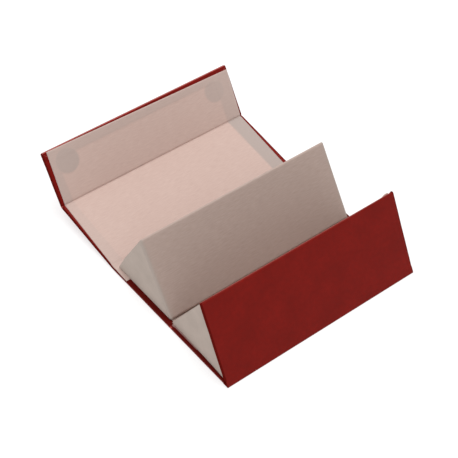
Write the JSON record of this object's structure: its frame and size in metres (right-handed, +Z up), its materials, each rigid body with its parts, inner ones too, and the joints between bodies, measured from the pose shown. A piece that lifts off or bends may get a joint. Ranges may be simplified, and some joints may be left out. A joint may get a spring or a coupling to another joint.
{
  "type": "eyeglasses case",
  "caption": "Folding eyeglasses case for two pairs: five hinged boards in one leatherette skin, a hinged divider and bellows gussets, lying open on its back.",
  "frame": {"origin": "centre of the open case's footprint, on the surface it lies on", "axes": "+X along the creases, +Y from the front panel towards the flap, +Z up"},
  "size_m": [0.165, 0.2153, 0.056],
  "materials": {
    "red_leatherette": "fine-grained satin leatherette",
    "suede_lining": "pinkish beige suede-like lining",
    "divider_suede": "pinkish beige suede-like lining",
    "gusset_fabric": "greyish beige thin fabric",
    "greyboard": "plain greyboard",
    "magnet": "nickel-plated disc"
  },
  "bodies": {
    "base_front": {"base_front_cover": "red_leatherette", "base_front_board": "greyboard", "base_front_lining": "suede_lining", "divider_hinge_tab": "divider_suede", "front_crease_cover": "red_leatherette", "base_crease_cover": "red_leatherette"},
    "front_panel": {"front_panel_cover": "red_leatherette", "front_panel_board": "greyboard", "front_panel_lining": "suede_lining", "front_panel_magnet_left": "magnet", "front_panel_magnet_right": "magnet"},
    "base_rear": {"base_rear_cover": "red_leatherette", "base_rear_board": "greyboard", "base_rear_lining": "suede_lining", "lid_lining_tail": "suede_lining", "divider_crease_lining": "divider_suede", "lid_crease_cover": "red_leatherette", "lid_crease_lining": "suede_lining"},
    "divider": {"divider_board": "greyboard", "divider_front_facing": "divider_suede", "divider_rear_facing": "divider_suede"},
    "lid": {"lid_cover": "red_leatherette", "lid_board": "greyboard", "lid_lining": "suede_lining", "flap_crease_cover": "red_leatherette", "flap_crease_lining": "suede_lining"},
    "flap": {"flap_cover": "red_leatherette", "flap_board": "greyboard", "flap_lining": "suede_lining", "flap_magnet_left": "magnet", "flap_magnet_right": "magnet"},
    "front_gusset_left_lower": {"front_gusset_left_lower": "gusset_fabric"},
    "front_gusset_left_upper": {"front_gusset_left_upper": "gusset_fabric"},
    "front_gusset_right_lower": {"front_gusset_right_lower": "gusset_fabric"},
    "front_gusset_right_upper": {"front_gusset_right_upper": "gusset_fabric"},
    "rear_gusset_left_lower": {"rear_gusset_left_lower": "gusset_fabric"},
    "rear_gusset_left_upper": {"rear_gusset_left_upper": "gusset_fabric"},
    "rear_gusset_right_lower": {"rear_gusset_right_lower": "gusset_fabric"},
    "rear_gusset_right_upper": {"rear_gusset_right_upper": "gusset_fabric"}
  },
  "joints": [
    {"name": "front_panel_fold", "type": "hinge", "parent": "base_front", "child": "front_panel", "pos_m": [0, -0.1031, 0.0032], "axis": [1, 0, 0], "range_deg": [-58, 0], "deforming": ["front_crease_cover", "front_gusset_left_lower", "front_gusset_left_upper", "front_gusset_right_lower", "front_gusset_right_upper"]},
    {"name": "base_fold", "type": "hinge", "parent": "base_front", "child": "base_rear", "pos_m": [0, -0.04607, 0.00025], "axis": [1, 0, 0], "range_deg": [0, 62], "deforming": ["base_crease_cover", "divider_crease_lining"]},
    {"name": "divider_fold", "type": "hinge", "parent": "base_rear", "child": "divider", "pos_m": [0, -0.04097, 0.0033], "axis": [1, 0, 0], "range_deg": [-52, 0], "deforming": ["rear_gusset_left_lower", "rear_gusset_left_upper", "rear_gusset_right_lower", "rear_gusset_right_upper"]},
    {"name": "lid_hinge", "type": "hinge", "parent": "base_rear", "child": "lid", "pos_m": [0, 0.02153, 0.0016], "axis": [1, 0, 0], "range_deg": [-8.3, 109], "deforming": ["lid_crease_cover", "lid_crease_lining"]},
    {"name": "flap_hinge", "type": "hinge", "parent": "lid", "child": "flap", "pos_m": [0, 0.08532, 0.00953], "axis": [1, 0, 0], "range_deg": [-50.2, 13], "deforming": ["flap_crease_cover", "flap_crease_lining"]},
    {"name": "front_gusset_left_lower_fold", "type": "hinge", "parent": "base_front", "child": "front_gusset_left_lower", "pos_m": [-0.0788, -0.10294, 0.0033], "axis": [0, 1, 0], "range_deg": [0, 90]},
    {"name": "front_gusset_left_upper_fold", "type": "hinge", "parent": "front_panel", "child": "front_gusset_left_upper", "pos_m": [-0.0788, -0.10294, 0.0033], "axis": [0, -0.4602, -0.8878], "range_deg": [0, 90]},
    {"name": "front_gusset_right_lower_fold", "type": "hinge", "parent": "base_front", "child": "front_gusset_right_lower", "pos_m": [0.0788, -0.10294, 0.0033], "axis": [0, -1, 0], "range_deg": [0, 90]},
    {"name": "front_gusset_right_upper_fold", "type": "hinge", "parent": "front_panel", "child": "front_gusset_right_upper", "pos_m": [0.0788, -0.10294, 0.0033], "axis": [0, 0.4602, 0.8878], "range_deg": [0, 90]},
    {"name": "rear_gusset_left_lower_fold", "type": "hinge", "parent": "base_rear", "child": "rear_gusset_left_lower", "pos_m": [-0.0788, -0.04077, 0.0033], "axis": [0, 1, 0], "range_deg": [0, 90]},
    {"name": "rear_gusset_left_upper_fold", "type": "hinge", "parent": "divider", "child": "rear_gusset_left_upper", "pos_m": [-0.0788, -0.04088, 0.00325], "axis": [0, -0.5519, -0.8339], "range_deg": [0, 90]},
    {"name": "rear_gusset_right_lower_fold", "type": "hinge", "parent": "base_rear", "child": "rear_gusset_right_lower", "pos_m": [0.0788, -0.04077, 0.0033], "axis": [0, -1, 0], "range_deg": [0, 90]},
    {"name": "rear_gusset_right_upper_fold", "type": "hinge", "parent": "divider", "child": "rear_gusset_right_upper", "pos_m": [0.0788, -0.04088, 0.00325], "axis": [0, 0.5519, 0.8339], "range_deg": [0, 90]}
  ],
  "couplings": [
    {"joint": "front_gusset_left_lower_fold", "follows": "front_panel_fold", "ratio": -1.5},
    {"joint": "front_gusset_left_upper_fold", "follows": "front_panel_fold", "ratio": -1.5},
    {"joint": "front_gusset_right_lower_fold", "follows": "front_panel_fold", "ratio": -1.5},
    {"joint": "front_gusset_right_upper_fold", "follows": "front_panel_fold", "ratio": -1.5},
    {"joint": "rear_gusset_left_lower_fold", "follows": "divider_fold", "ratio": -1.6731},
    {"joint": "rear_gusset_left_upper_fold", "follows": "divider_fold", "ratio": -1.6731},
    {"joint": "rear_gusset_right_lower_fold", "follows": "divider_fold", "ratio": -1.6731},
    {"joint": "rear_gusset_right_upper_fold", "follows": "divider_fold", "ratio": -1.6731}
  ]
}
